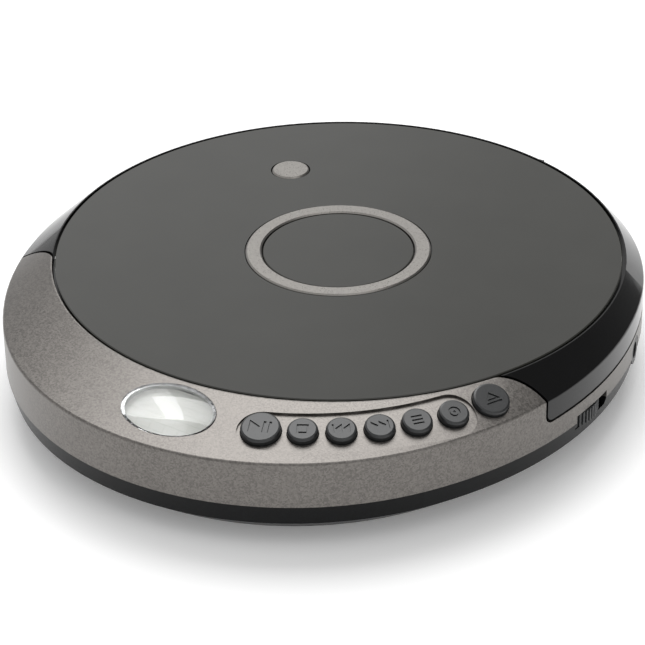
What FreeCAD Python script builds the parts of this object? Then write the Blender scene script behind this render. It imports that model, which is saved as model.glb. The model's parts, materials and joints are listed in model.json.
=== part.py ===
import FreeCAD, Part
import math
import os
import Sketcher
from FreeCAD import Placement, Rotation, Vector

# Portable disc player. Millimetres, +Z up, resting on z = 0. Every piece is drawn about the
# spindle axis and then moved by dims.spindle_y, so that the origin is under the middle of the
# outline. The controls are at the front, -Y, and the lid hinges at the rear, +Y.

doc = FreeCAD.newDocument("portable_disc_player")
sheet = doc.addObject("Spreadsheet::Sheet", "dims")

SIZES = [
    ("rear_radius", 68.4, "rear arc of the outline, about the spindle"),
    ("front_radius", 65.3, "front arc of the outline"),
    ("front_setback", 17.6, "front arc's centre, in front of the spindle"),
    ("side_radius", 85.0, "side arcs, tangent to the front and rear arcs"),
    ("foot_height", 1.0, "rubber feet, and the height of the flat underside"),
    ("chine_height", 6.3, "lower edge of the side wall"),
    ("split_height", 11.0, "joint between the bottom case and the upper cabinet"),
    ("skirt_height", 16.3, "lower edge of the lid's skirt"),
    ("crease_height", 21.4, "where the side wall turns into the shoulder"),
    ("shoulder_height", 25.9, "top edge of the shoulder, round the lid panel"),
    ("floor_inset", 8.0, "underside, in from the outline"),
    ("chine_inset", 1.2, "lower edge of the side wall, in from the outline"),
    ("crease_round", 0.6, "rounding of the crease"),
    ("wall", 1.6, "moulded walls"),
    ("floor_thickness", 1.4, "floor of the bottom case"),
    ("seam", 0.3, "gap between mouldings"),
    ("parting_gap", 0.6, "visible gap round the lid panel and the horns"),
    ("shoulder_radius", 64.4, "top edge of the shoulder"),
    ("well_wall", 1.0, "cabinet's wall between the disc well and the controls"),
    ("panel_radius", 63.5, "lid panel"),
    ("panel_thickness", 1.4, "lid panel"),
    ("lid_plate", 1.2, "plate under the lid panel"),
    ("horn_reach_x", 63.2, "centre of each rounded horn of the cabinet, to the side"),
    ("horn_reach_y", 41.5, "centre of each rounded horn, to the front"),
    ("horn_radius", 12.5, "rounded horn"),
    ("horn_corner", 1.6, "rounded lower corner of the lid's skirt at the horn"),
    ("ring_inner", 17.25, "trim ring on the lid"),
    ("ring_outer", 20.8, "trim ring on the lid"),
    ("ring_rise", 0.3, "trim ring above the lid panel"),
    ("trim_gap", 0.25, "dark line beside the trim ring and the badge"),
    ("badge_radius", 4.4, "plain round badge"),
    ("badge_reach", 40.6, "badge from the spindle"),
    ("badge_angle", 135.0, "direction of the badge"),
    ("ledge_inner", 59.5, "opening of the cabinet's inner ledge"),
    ("ledge_thickness", 1.4, "cabinet's inner ledge"),
    ("deck_height", 17.4, "underside of the disc deck"),
    ("deck_thickness", 1.2, "disc deck"),
    ("deck_rim", 1.2, "deck's raised rim, width and height over the deck"),
    ("hub_opening", 15.0, "deck's opening round the turntable"),
    ("slot_half_width", 13.0, "deck's opening over the pickup"),
    ("slot_reach", 61.6, "round front end of that opening, from the spindle"),
    ("hinge_y", 63.4, "lid hinge axis behind the spindle"),
    ("hinge_z", 18.9, "lid hinge axis above the table"),
    ("barrel_radius", 2.9, "hinge barrel on the cabinet"),
    ("barrel_half", 17.5, "half length of the hinge barrel"),
    ("ear_radius", 1.9, "lid's hinge ears"),
    ("ear_width", 2.2, "lid's hinge ears"),
    ("ear_gap", 0.6, "between ear and barrel"),
    ("pin_radius", 0.8, "hinge pins"),
    ("pin_clearance", 0.05, "running clearance of pins, posts and shafts"),
    ("button_radius", 3.2, "small buttons"),
    ("play_radius", 4.2, "play button"),
    ("open_radius", 3.95, "lid release button"),
    ("button_clearance", 0.15, "button in its hole"),
    ("button_rise", 1.2, "button face over the shoulder"),
    ("button_travel", 0.7, "button stroke"),
    ("icon_depth", 0.25, "engraved symbols"),
    ("row_share", 0.487, "button row, as a share of the way from panel to crease"),
    ("row_start", 296.2, "direction of the second button of the row"),
    ("row_step", 6.95, "angle between the small buttons"),
    ("open_share", 0.44, "lid release button, as the same kind of share"),
    ("play_angle", 288.6, "direction of the play button"),
    ("open_angle", 330.6, "direction of the lid release button"),
    ("recess_half", 5.1, "half width of the sunk field round the row"),
    ("recess_depth", 0.7, "depth of that field at the panel side"),
    ("lens_half_long", 10.8, "display window along the shoulder"),
    ("lens_half_wide", 7.4, "display window across the shoulder"),
    ("lens_share", 0.43, "display window, as a share of the way to the crease"),
    ("lens_dome", 1.5, "rise of the display's domed lens"),
    ("wheel_radius", 11.0, "volume wheel"),
    ("wheel_width", 3.1, "volume wheel"),
    ("wheel_y", 13.0, "volume wheel in front of the spindle"),
    ("wheel_proud", 0.3, "volume wheel beyond the side wall"),
    ("wheel_slot", 12.6, "length of the wheel's opening"),
    ("jack_radius", 1.8, "bore of the headphone socket"),
    ("jack_ring", 3.2, "outside of the socket's ring"),
    ("jack_height", 11.8, "both sockets above the table"),
    ("jack_angle", 12.6, "direction that the headphone socket faces"),
    ("jack_depth", 13.5, "depth of the headphone socket"),
    ("power_angle", 30.0, "direction that the power socket faces"),
    ("power_radius", 2.2, "bore of the power socket"),
    ("board_height", 7.2, "underside of the main board"),
    ("board_thickness", 1.0, "both circuit boards"),
    ("key_board_height", 16.2, "underside of the key board"),
    ("cell_radius", 7.25, "one AA cell"),
    ("cell_length", 50.5, "one AA cell"),
    ("bay_front", 22.6, "front wall of the battery bay, behind the spindle"),
    ("bay_wall", 1.2, "walls of the battery bay"),
    ("door_gap", 0.3, "gap round the battery door"),
    ("door_thickness", 1.2, "battery door"),
    ("seat_height", 19.8, "where the disc rests"),
    ("hub_radius", 7.35, "hub in the disc's 15 mm hole"),
    ("hub_rise", 2.5, "hub above the seat"),
    ("table_radius", 13.0, "turntable"),
    ("shaft_radius", 0.75, "spindle shaft"),
    ("motor_radius", 9.0, "spindle motor"),
    ("chassis_height", 7.4, "underside of the mechanism chassis"),
    ("chassis_thickness", 1.0, "mechanism chassis"),
    ("rod_x", 19.5, "guide rods, to each side"),
    ("rod_z", 12.9, "guide rods above the table"),
    ("rod_radius", 1.2, "guide rods"),
    ("lens_start", 24.0, "pickup lens from the spindle at rest"),
    ("sled_travel", 33.0, "pickup stroke"),
    ("gear_module", 0.5, "all gear teeth"),
    ("gear_x", 27.6, "double gear, to the left"),
    ("gear_y", 32.0, "double gear, to the front"),
    ("post_radius", 1.0, "double gear's post"),
    ("sled_half_width", 23.3, "room for the sled, to each side"),
    ("screw_reach", 61.5, "case screws from the spindle"),
    ("screw_radius", 1.0, "case screws"),
]

for row, (alias, size, note) in enumerate(SIZES, start=1):
    sheet.set("A%d" % row, note)
    sheet.set("B%d" % row, str(size))
    sheet.setAlias("B%d" % row, alias)
doc.recompute()

# Sizes that follow from the ones above, kept in the sheet as formulas.
DERIVED = [
    ("side_to_rear", "side_radius - rear_radius"),
    ("side_to_front", "side_radius - front_radius"),
    ("side_y", "(side_to_front^2 - side_to_rear^2 - front_setback^2) / (2 * front_setback)"),
    ("side_x", "sqrt(side_to_rear^2 - side_y^2)"),
    ("spindle_y", "(front_radius + front_setback - rear_radius) / 2"),
    ("ledge_top", "skirt_height - seam"),
    ("ledge_under", "ledge_top - ledge_thickness"),
    ("floor_top", "foot_height + floor_thickness"),
    ("panel_top", "shoulder_height + 0.1"),
    ("panel_under", "panel_top - panel_thickness"),
    ("plate_under", "panel_under - lid_plate"),
    ("well_radius", "panel_radius + parting_gap"),
    ("deck_radius", "well_radius - seam"),
    ("deck_top", "deck_height + deck_thickness"),
    ("board_top", "board_height + board_thickness"),
    ("key_board_top", "key_board_height + board_thickness"),
    ("chassis_top", "chassis_height + chassis_thickness"),
    ("gear_small", "12 * gear_module / 2"),
    ("gear_large", "32 * gear_module / 2"),
    ("rack_x", "gear_x - gear_small"),
    ("bay_length", "cell_length + 4"),
    ("bay_width", "4 * cell_radius + 1"),
    ("bay_rear", "bay_front + bay_width"),
    ("wheel_low", "split_height - wheel_width / 2 - 0.05"),
]
for row, (alias, formula) in enumerate(DERIVED, start=len(SIZES) + 1):
    sheet.set("A%d" % row, "worked out")
    sheet.set("B%d" % row, "=" + formula)
    sheet.setAlias("B%d" % row, alias)
    doc.recompute()


def size(alias):
    return float(sheet.get(alias))


def value(formula):
    return float(sheet.evalExpression(formula))


pieces = []


def keep(piece, label):
    """Names a finished piece and moves it from the spindle axis to the model's own frame."""
    piece.Label = label
    piece.setExpression(".Placement.Base.y", "dims.spindle_y")
    pieces.append(piece)
    return piece


def keep_shape(shape, label, placement=None):
    """Stores a shape worked out by code as one piece of the document."""
    feature = doc.addObject("Part::Feature", label)
    feature.Shape = shape
    base = placement if placement else Placement()
    base = base.multiply(shape.Placement)
    feature.Placement = Placement(Vector(0, size("spindle_y"), 0), Rotation()).multiply(base)
    feature.Label = label
    pieces.append(feature)
    return feature


# ---------------------------------------------------------------- primitives bound to the sheet

def box(name, corner, lengths):
    piece = doc.addObject("Part::Box", name)
    for prop, formula in zip(("Length", "Width", "Height"), lengths):
        piece.setExpression(prop, formula)
    for axis, formula in zip("xyz", corner):
        piece.setExpression(".Placement.Base." + axis, formula)
    return piece


def cylinder(name, centre, radius, height, turn=None):
    piece = doc.addObject("Part::Cylinder", name)
    piece.setExpression("Radius", radius)
    piece.setExpression("Height", height)
    if turn:
        piece.Placement = Placement(Vector(0, 0, 0), turn)
    for axis, formula in zip("xyz", centre):
        piece.setExpression(".Placement.Base." + axis, formula)
    return piece


def fuse(name, parts):
    piece = doc.addObject("Part::MultiFuse", name)
    piece.Shapes = parts
    return piece


def cut(name, base, tool):
    piece = doc.addObject("Part::Cut", name)
    piece.Base = base
    piece.Tool = tool if not isinstance(tool, list) else fuse(name + "_tools", tool)
    return piece


ALONG_X = Rotation(Vector(0, 1, 0), 90)
ALONG_FRONT = Rotation(Vector(1, 0, 0), 90)


# ---------------------------------------------------------------- sketches bound to the sheet

def new_body(name):
    return doc.addObject("PartDesign::Body", name)


def new_sketch(body, name, plane="XY_Plane", offset="0"):
    sketch = body.newObject("Sketcher::SketchObject", name)
    origin = [item for item in body.Origin.OriginFeatures if item.Role == plane][0]
    sketch.AttachmentSupport = [(origin, "")]
    sketch.MapMode = "FlatFace"
    if offset != "0":
        sketch.setExpression("AttachmentOffset.Base.z", offset)
    return sketch


def pin_point(sketch, geometry, position, x, y):
    """Holds one point of a sketch at two formulas of the sheet."""
    for kind, formula, axis_line in (("DistanceX", x, -2), ("DistanceY", y, -1)):
        if formula == "0":
            sketch.addConstraint(Sketcher.Constraint("PointOnObject", geometry, position, axis_line))
        else:
            index = sketch.addConstraint(
                Sketcher.Constraint(kind, geometry, position, value(formula)))
            sketch.setExpression("Constraints[%d]" % index, formula)


def add_circle(sketch, radius, x="0", y="0"):
    centre = Vector(value(x), value(y), 0)
    geometry = sketch.addGeometry(Part.Circle(centre, Vector(0, 0, 1), value(radius)), False)
    pin_point(sketch, geometry, 3, x, y)
    index = sketch.addConstraint(Sketcher.Constraint("Radius", geometry, value(radius)))
    sketch.setExpression("Constraints[%d]" % index, radius)
    return geometry


def add_outline(sketch, corners):
    """A closed outline of straight edges whose corners are formulas of the sheet."""
    points = [Vector(value(x), value(y), 0) for x, y in corners]
    edges = []
    for start, end in zip(points, points[1:] + points[:1]):
        edges.append(sketch.addGeometry(Part.LineSegment(start, end), False))
    for edge, after in zip(edges, edges[1:] + edges[:1]):
        sketch.addConstraint(Sketcher.Constraint("Coincident", edge, 2, after, 1))
    for edge, (x, y) in zip(edges, corners):
        pin_point(sketch, edge, 1, x, y)
    return edges


def add_egg(sketch, inset):
    """The outline moved inwards: rear, right, front and left arcs, tangent in turn."""
    arcs = [sketch.addGeometry(arc, False) for arc in egg_arcs(value(inset), 0)]
    right, rear, left, front = arcs
    for edge, after in ((right, rear), (rear, left), (left, front), (front, right)):
        sketch.addConstraint(Sketcher.Constraint("Tangent", edge, 2, after, 1))
    pin_point(sketch, rear, 3, "0", "0")
    pin_point(sketch, front, 3, "0", "-dims.front_setback")
    for edge, radius in ((rear, "rear"), (front, "front"), (right, "side")):
        index = sketch.addConstraint(
            Sketcher.Constraint("Radius", edge, value("dims.%s_radius - (%s)" % (radius, inset))))
        sketch.setExpression("Constraints[%d]" % index, "dims.%s_radius - (%s)" % (radius, inset))
    sketch.addConstraint(Sketcher.Constraint("Equal", right, left))


def pad(body, sketch, length, name):
    feature = body.newObject("PartDesign::Pad", name)
    feature.Profile = sketch
    feature.setExpression("Length", length)
    return feature


def pocket(body, sketch, length, name, reverse=False):
    before = volume_of(body)
    feature = body.newObject("PartDesign::Pocket", name)
    feature.Profile = sketch
    feature.setExpression("Length", length)
    feature.Reversed = reverse
    doc.recompute()
    if not feature.Shape.Volume < before - 1e-6:
        raise RuntimeError(name + " cuts nothing")
    return feature


def volume_of(body):
    doc.recompute()
    return body.Tip.Shape.Volume


def revolve(body, sketch, name):
    feature = body.newObject("PartDesign::Revolution", name)
    feature.Profile = sketch
    feature.ReferenceAxis = (sketch, ["V_Axis"])
    feature.Angle = 360.0
    return feature


def turned(name, profile):
    """A body turned from a half profile of radius and height formulas."""
    body = new_body(name)
    sketch = new_sketch(body, name + "_profile", "XZ_Plane")
    add_outline(sketch, profile)
    revolve(body, sketch, name + "_turned")
    return body


# ---------------------------------------------------------------- the outline and the shoulder

def egg_arcs(inset, height):
    """The outline's arcs at a height, anticlockwise from the right-hand one."""
    side = Vector(-size("side_x"), size("side_y"), height)
    rear_turn = math.atan2(-size("side_y"), size("side_x"))
    front_turn = math.atan2(-size("front_setback") - size("side_y"), size("side_x"))
    spans = (
        (side, size("side_radius"), front_turn, rear_turn),
        (Vector(0, 0, height), size("rear_radius"), rear_turn, math.pi - rear_turn),
        (Vector(-side.x, side.y, height), size("side_radius"), math.pi - rear_turn,
         math.pi - front_turn),
        (Vector(0, -size("front_setback"), height), size("front_radius"), math.pi - front_turn,
         2 * math.pi + front_turn),
    )
    return [Part.ArcOfCircle(Part.Circle(centre, Vector(0, 0, 1), radius - inset), start, end)
            for centre, radius, start, end in spans]


def egg_wire(inset, height):
    return Part.Wire([arc.toShape() for arc in egg_arcs(inset, height)])


def round_wire(radius, height):
    """A circle broken where the outline's arcs meet, so that the two loft edge to edge."""
    rear_turn = math.atan2(-size("side_y"), size("side_x"))
    front_turn = math.atan2(-size("front_setback") - size("side_y"), size("side_x"))
    turns = (front_turn, rear_turn, math.pi - rear_turn, math.pi - front_turn,
             2 * math.pi + front_turn)
    circle = Part.Circle(Vector(0, 0, height), Vector(0, 0, 1), radius)
    arcs = [Part.ArcOfCircle(circle, a, b).toShape() for a, b in zip(turns, turns[1:])]
    return Part.Wire(arcs)


def loft(*wires):
    return Part.makeLoft(list(wires), True, True)


def disc(radius, low, high, x=0.0, y=0.0):
    return Part.makeCylinder(radius, high - low, Vector(x, y, low))


def block(low, high):
    span = Vector(*high) - Vector(*low)
    return Part.makeBox(span.x, span.y, span.z, Vector(*low))


def outline_point(direction):
    """Where the outline's normal points in the given direction, in degrees."""
    turn = math.radians(direction % 360 if direction % 360 < 270 else direction % 360 - 360)
    rear_turn = math.atan2(-size("side_y"), size("side_x"))
    front_turn = math.atan2(-size("front_setback") - size("side_y"), size("side_x"))
    normal = Vector(math.cos(turn), math.sin(turn), 0)
    if turn < front_turn:
        return Vector(0, -size("front_setback"), 0) + normal * size("front_radius")
    if turn < rear_turn:
        return Vector(-size("side_x"), size("side_y"), 0) + normal * size("side_radius")
    return normal * size("rear_radius")


def on_shoulder(direction, share, rise=0.0):
    """A frame on the shoulder: X along it, Y up towards the panel, Z out of it."""
    turn = math.radians(direction)
    normal = Vector(math.cos(turn), math.sin(turn), 0)
    top = normal * size("shoulder_radius")
    low = outline_point(direction)
    drop = size("shoulder_height") - size("crease_height")
    tilt = math.degrees(math.atan2(drop, (low - top).dot(normal)))
    point = top * (1 - share) + low * share
    point.z = size("shoulder_height") - drop * share
    turned_frame = Rotation(Vector(0, 0, 1), direction + 90).multiply(Rotation(Vector(1, 0, 0), tilt))
    return Placement(point + turned_frame.multVec(Vector(0, 0, rise)), turned_frame)


def outer_form(low, inset=0.0, drop=0.0):
    """The solid inside the side wall and the shoulder, from a height upwards."""
    crease = size("crease_height") - drop
    wall = loft(egg_wire(inset, low), egg_wire(inset, crease))
    shoulder = loft(egg_wire(inset, crease),
                    round_wire(size("shoulder_radius") + 0.5 * inset, size("shoulder_height") - drop))
    return wall.fuse(shoulder).removeSplitter()


def rounded_form(low):
    """The same with its crease rounded."""
    form = outer_form(low)
    crease = size("crease_height")
    edges = [edge for edge in form.Edges
             if all(abs(vertex.Z - crease) < 1e-6 for vertex in edge.Vertexes)]
    return form.makeFillet(size("crease_round"), edges)


def front_zone(grow, low=-50.0, high=60.0):
    """Plan of the front part of the cabinet, whose two horns are round."""
    x = size("horn_reach_x")
    y = size("horn_reach_y")
    radius = size("horn_radius") + grow
    zone = block((-2 * x, -200, low), (2 * x, -y, high))
    inner_x = x - 0.816 * radius
    inner_y = y - 0.512 * size("horn_radius") - grow
    zone = zone.fuse(block((-inner_x, -200, low), (inner_x, -inner_y, high)))
    for side in (-1, 1):
        zone = zone.fuse(disc(radius, low, high, side * x, -y))
    return zone.removeSplitter()


def lid_zone(grow):
    """Everything that the lid takes, grown by a gap, with rounded corners at the horns."""
    low = size("skirt_height") - grow
    zone = block((-200, -200, low), (200, 200, 60)).cut(front_zone(-grow))
    radius = size("horn_radius") - grow
    corner = size("horn_corner") + grow
    a = Vector(radius, 0, low)
    b = Vector(radius + corner, 0, low)
    c = Vector(radius, 0, low + corner)
    bulge = math.sqrt(0.5)
    middle = Vector(radius + corner * (1 - bulge), 0, low + corner * (1 - bulge))
    edges = [Part.makeLine(a, b), Part.Arc(b, middle, c).toShape(), Part.makeLine(c, a)]
    corner_ring = Part.Face(Part.Wire(edges)).revolve(Vector(0, 0, 0), Vector(0, 0, 1), 360)
    for side in (-1, 1):
        ring = corner_ring.copy()
        ring.translate(Vector(side * size("horn_reach_x"), -size("horn_reach_y"), 0))
        zone = zone.cut(ring)
    return zone


# ---------------------------------------------------------------- places of the controls

def control_places():
    """Name, direction, share and radius formula of each button."""
    row = [("play_button", size("play_angle"), "dims.play_radius")]
    names = ("stop_button", "previous_button", "next_button", "program_button", "mode_button")
    for step, name in enumerate(names):
        row.append((name, size("row_start") + step * size("row_step"), "dims.button_radius"))
    row.append(("open_button", size("open_angle"), "dims.open_radius"))
    return row


def share_of(name):
    """How far down the shoulder a button stands, from the panel to the crease."""
    return size("open_share") if name == "open_button" else size("row_share")


def slot_tool(radius):
    """The sunk field round the row: a band with round ends, open upwards."""
    share = size("row_share")
    centre = Vector(0, -size("front_setback") * share, 0)
    reach = size("shoulder_radius") * (1 - share) + size("front_radius") * share
    start = math.radians(size("play_angle"))
    end = math.radians(size("row_start") + 4 * size("row_step"))
    ends = []
    for turn in (start, end):
        place = centre + Vector(math.cos(turn), math.sin(turn), 0) * reach
        ends.append(disc(radius, 10, 40, place.x, place.y))
    outer = Part.makeCylinder(reach + radius, 30, centre + Vector(0, 0, 10), Vector(0, 0, 1), 360)
    inner = Part.makeCylinder(reach - radius, 30, centre + Vector(0, 0, 10), Vector(0, 0, 1), 360)
    far = 400.0
    corners = [centre, centre + Vector(math.cos(start), math.sin(start), 0) * far,
               centre + Vector(math.cos(end), math.sin(end), 0) * far]
    wedge = Part.Face(Part.makePolygon(corners + corners[:1])).extrude(Vector(0, 0, 60))
    return outer.cut(inner).common(wedge).fuse(ends[0]).fuse(ends[1])


def sunk_field():
    """The field's floor drops away from the crease towards the panel."""
    depth = size("recess_depth")
    lowered = loft(egg_wire(0, size("crease_height")),
                   round_wire(size("shoulder_radius"), size("shoulder_height") - depth))
    below = loft(egg_wire(0, 5), egg_wire(0, size("crease_height")))
    return slot_tool(size("recess_half")).cut(lowered).cut(below)


def oval(half_long, half_wide, low, high):
    """An upright oval block in its own frame."""
    curve = Part.Ellipse(Vector(0, 0, low), half_long, half_wide).toShape()
    return Part.Face(Part.Wire([curve])).extrude(Vector(0, 0, high - low))


def placed(shape, placement):
    moved = shape.copy()
    moved.Placement = placement.multiply(moved.Placement)
    return moved


def wheel_centre_x():
    wall = -size("side_x") + math.sqrt(size("side_radius") ** 2 -
                                       (size("wheel_y") + size("side_y")) ** 2)
    return wall + size("wheel_proud") - size("wheel_radius")


def wall_frame(direction, height):
    """X points out of the side wall, at a height."""
    point = outline_point(direction)
    point.z = height
    return Placement(point, Rotation(Vector(0, 0, 1), direction))


SCREW_ANGLES = (48.0, 132.0, 215.0, 325.0)


def screw_places():
    reach = size("screw_reach")
    return [Vector(reach * math.cos(math.radians(turn)), reach * math.sin(math.radians(turn)), 0)
            for turn in SCREW_ANGLES]


def side_openings():
    """What both halves of the case leave open in the side wall."""
    tools = []
    socket = Part.makeCylinder(size("jack_ring") + 0.1, 30, Vector(-20, 0, 0), Vector(1, 0, 0))
    tools.append(placed(socket, wall_frame(size("jack_angle"), size("jack_height"))))
    power = Part.makeCylinder(size("power_radius") + 1.1, 30, Vector(-20, 0, 0), Vector(1, 0, 0))
    tools.append(placed(power, wall_frame(size("power_angle"), size("jack_height"))))
    gap = 0.25
    low = size("wheel_low") - gap
    high = size("wheel_low") + size("wheel_width") + gap
    wheel = disc(size("wheel_radius") + gap, low, high, wheel_centre_x(), -size("wheel_y"))
    half = size("wheel_slot") / 2
    skin = 0.35 * size("wall")
    tools.append(wheel.common(loft(egg_wire(skin, low), egg_wire(skin, high))))
    tools.append(block((wheel_centre_x(), -size("wheel_y") - half, low),
                       (200, -size("wheel_y") + half, high)))
    return tools


# ---------------------------------------------------------------- cabinet

def make_bottom_case():
    """Shallow moulded tray: flat underside, sloping chine, low side wall, bosses and bay."""
    body = new_body("bottom_tray")
    wall = "dims.wall"
    outside = (("dims.floor_inset", "dims.foot_height"), ("dims.chine_inset", "dims.chine_height"),
               ("0", "dims.split_height"))
    inside = (("dims.floor_inset + 0.6 * dims.wall", "dims.floor_top"),
              ("dims.chine_inset + " + wall, "dims.chine_height + 0.5 * dims.wall"),
              (wall, "dims.split_height + 0.01"))
    for kind, rings, name in (("PartDesign::AdditiveLoft", outside, "outside"),
                              ("PartDesign::SubtractiveLoft", inside, "inside")):
        sketches = []
        for number, (inset, height) in enumerate(rings):
            ring = new_sketch(body, "%s_%d" % (name, number), "XY_Plane", height)
            add_egg(ring, inset)
            sketches.append(ring)
        doc.recompute()
        feature = body.newObject(kind, "tray_" + name)
        feature.Profile = sketches[0]
        feature.Sections = sketches[1:]
        feature.Ruled = True
        doc.recompute()
    tray = body.Shape.copy()
    floor = size("floor_top")
    half = size("bay_length") / 2 + size("bay_wall")
    front = size("bay_front") - size("bay_wall")
    rear = size("bay_rear") + size("bay_wall")
    bay = block((-half, front, floor - 0.2), (half, rear, size("ledge_under") - 0.2))
    hollow = block((-size("bay_length") / 2, size("bay_front"), 0),
                   (size("bay_length") / 2, size("bay_rear"), 40))
    tray = tray.fuse(bay.common(loft(egg_wire(size("floor_inset"), 1), egg_wire(0.5, 8),
                                     egg_wire(0.5, 30))))
    for place in screw_places():
        tray = tray.fuse(disc(3.0, floor - 0.2, size("ledge_under") - 2.2, place.x, place.y).common(
            loft(egg_wire(size("floor_inset") - 0.2, size("foot_height") + 0.1),
                 egg_wire(size("chine_inset") + 0.2, size("chine_height")),
                 egg_wire(0.2, 30))))
    tray = tray.cut(hollow)
    for place in screw_places():
        tray = tray.cut(disc(size("screw_radius") + 0.15, -1, 30, place.x, place.y))
        tray = tray.cut(disc(2.2, -1, 6.2, place.x, place.y))
    for side in (-1, 1):
        x = side * (size("bay_length") / 2 - 0.5)
        bore = Part.makeCylinder(0.6, 3.2, Vector(x, hinge_line()[0], hinge_line()[1]),
                                 Vector(side, 0, 0))
        tray = tray.cut(bore)
    for tool in side_openings():
        tray = tray.cut(tool)
    for x, y in ((34, -30), (34, 14), (58, 2)):
        tray = tray.fuse(disc(2.0, floor - 0.2, size("board_height"), x, y).cut(
            disc(0.8, floor + 1, 30, x, y)))
    for x, y in damper_places():
        tray = tray.fuse(disc(2.4, floor - 0.2, size("chassis_height") - 1.6, x, y))
    keep_shape(tray.removeSplitter(), "bottom_case")


def hinge_line():
    """Height and depth of the battery door's hinge."""
    return size("bay_front") + 1.3, size("foot_height") + 0.9


def damper_places():
    return ((-33.0, 8.0), (21.0, 12.0), (-22.0, -66.0), (22.0, -66.0))


def make_upper_cabinet():
    """Painted moulding: band all round, ledge inside, and the sloping front with two horns."""
    split = size("split_height")
    wall = size("wall")
    form = rounded_form(split)
    body = form.cut(lid_zone(size("parting_gap")).fuse(
        disc(size("well_radius"), size("ledge_top"), 60)))
    body = body.cut(loft(egg_wire(wall, split - 1), egg_wire(wall, size("ledge_under"))))
    front = outer_form(size("ledge_under") - 1, wall, 1.05 * wall)
    front = front.common(front_zone(-wall)).cut(disc(size("well_radius") + size("well_wall"), 0, 60))
    body = body.cut(front)
    body = body.cut(disc(size("ledge_inner"), split - 1, size("ledge_top") + 5))
    body = body.cut(sunk_field())
    for name, direction, radius in control_places():
        share = share_of(name)
        hole = disc(value(radius) + size("button_clearance"), -2.1, 6)
        body = body.cut(placed(hole, on_shoulder(direction, share)))
        flange = disc(value(radius) + 0.4 + size("button_clearance"), -6, -2.0)
        if name != "open_button":
            body = body.cut(placed(flange, on_shoulder(direction, share)))
    window = oval(size("lens_half_long"), size("lens_half_wide"), -6, 6)
    body = body.cut(placed(window, on_shoulder(270, size("lens_share"))).cut(
        disc(size("well_radius") + 0.5, 0, 60)))
    for tool in side_openings():
        body = body.cut(tool)
    body = body.cut(latch_window())
    half = size("sled_half_width")
    body = body.cut(block((-half, -72, size("ledge_under") - 1), (half, -50, size("ledge_top"))))
    half = size("barrel_half")
    y = size("hinge_y")
    z = size("hinge_z")
    radius = size("barrel_radius")
    for side in (-1, 1):
        sweep = Part.makeCylinder(3.3, 12, Vector(side * (half + 0.2), y, z), Vector(side, 0, 0))
        body = body.cut(sweep)
    block_piece = block((-half, y - radius, size("ledge_top") - 0.6), (half, y + radius, z))
    body = body.fuse(block_piece.fuse(
        Part.makeCylinder(radius, 2 * half, Vector(-half, y, z), Vector(1, 0, 0))))
    for side in (-1, 1):
        body = body.cut(Part.makeCylinder(size("pin_radius"), 6, Vector(side * (half - 5.5), y, z),
                                          Vector(side, 0, 0)))
    for place in screw_places():
        boss = disc(3.0, size("ledge_under") - 2.0, size("ledge_under") + 0.2, place.x, place.y)
        body = body.fuse(boss)
        body = body.cut(disc(size("screw_radius"), 0, size("ledge_top") - 0.4, place.x, place.y))
    keep_shape(body.removeSplitter(), "upper_cabinet")


def latch_frame():
    """Z up, X outwards through the lid catch."""
    return Rotation(Vector(0, 0, 1), 326.0)


def latch_window():
    """Opening in the front well wall for the lid catch."""
    window = block((size("well_radius") - 2, -3.4, 20.1), (size("well_radius") + 3, 3.4, 21.4))
    return placed(window, Placement(Vector(0, 0, 0), latch_frame()))


def make_disc_deck():
    """Tray under the disc: flat deck, raised rim, openings over the hub and the pickup."""
    top = size("deck_top")
    radius = size("deck_radius")
    rim = size("deck_rim")
    deck = disc(radius, size("ledge_top"), top + rim)
    deck = deck.cut(disc(radius - rim, top, 60))
    deck = deck.cut(disc(radius - rim - 0.8, 0, size("deck_height")))
    step = disc(size("hub_opening") + 6, top, top + 0.4).cut(disc(size("hub_opening") + 5, 0, 60))
    deck = deck.fuse(step)
    deck = deck.cut(disc(size("hub_opening"), 0, 60))
    half = size("slot_half_width")
    slot = block((-half, -100, 0), (half, 0, 60)).common(disc(size("slot_reach"), 0, 60))
    deck = deck.cut(slot)
    notch = size("barrel_half") + size("ear_gap") + size("ear_width") + 0.8
    deck = deck.cut(block((-notch, size("hinge_y") - size("barrel_radius") - 0.4, 0),
                          (notch, 200, 60)))
    keep_shape(deck.removeSplitter(), "disc_deck")


def make_rubber_feet():
    """Four soft round feet in one node."""
    feet = []
    for number, (x, y) in enumerate(((36, -44), (-36, -44), (45, 28), (-45, 28))):
        foot = doc.addObject("Part::Cone", "foot_%d" % number)
        foot.setExpression("Radius1", "3.6")
        foot.setExpression("Radius2", "4.2")
        foot.setExpression("Height", "dims.foot_height")
        foot.Placement.Base = Vector(x, y, 0)
        feet.append(foot)
    keep(fuse("feet", feet), "rubber_feet")


def make_case_screws():
    """Four self-tapping screws, driven from below."""
    screws = []
    for place in screw_places():
        shank = disc(size("screw_radius"), 6.2, size("ledge_top") - 0.6, place.x, place.y)
        head = disc(1.9, 4.8, 6.2, place.x, place.y)
        cross = block((place.x - 1.2, place.y - 0.25, 0), (place.x + 1.2, place.y + 0.25, 5.4))
        cross = cross.fuse(block((place.x - 0.25, place.y - 1.2, 0),
                                 (place.x + 0.25, place.y + 1.2, 5.4)))
        screws.append(shank.fuse(head).cut(cross))
    keep_shape(Part.makeCompound(screws), "case_screws")


# ---------------------------------------------------------------- lid

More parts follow.
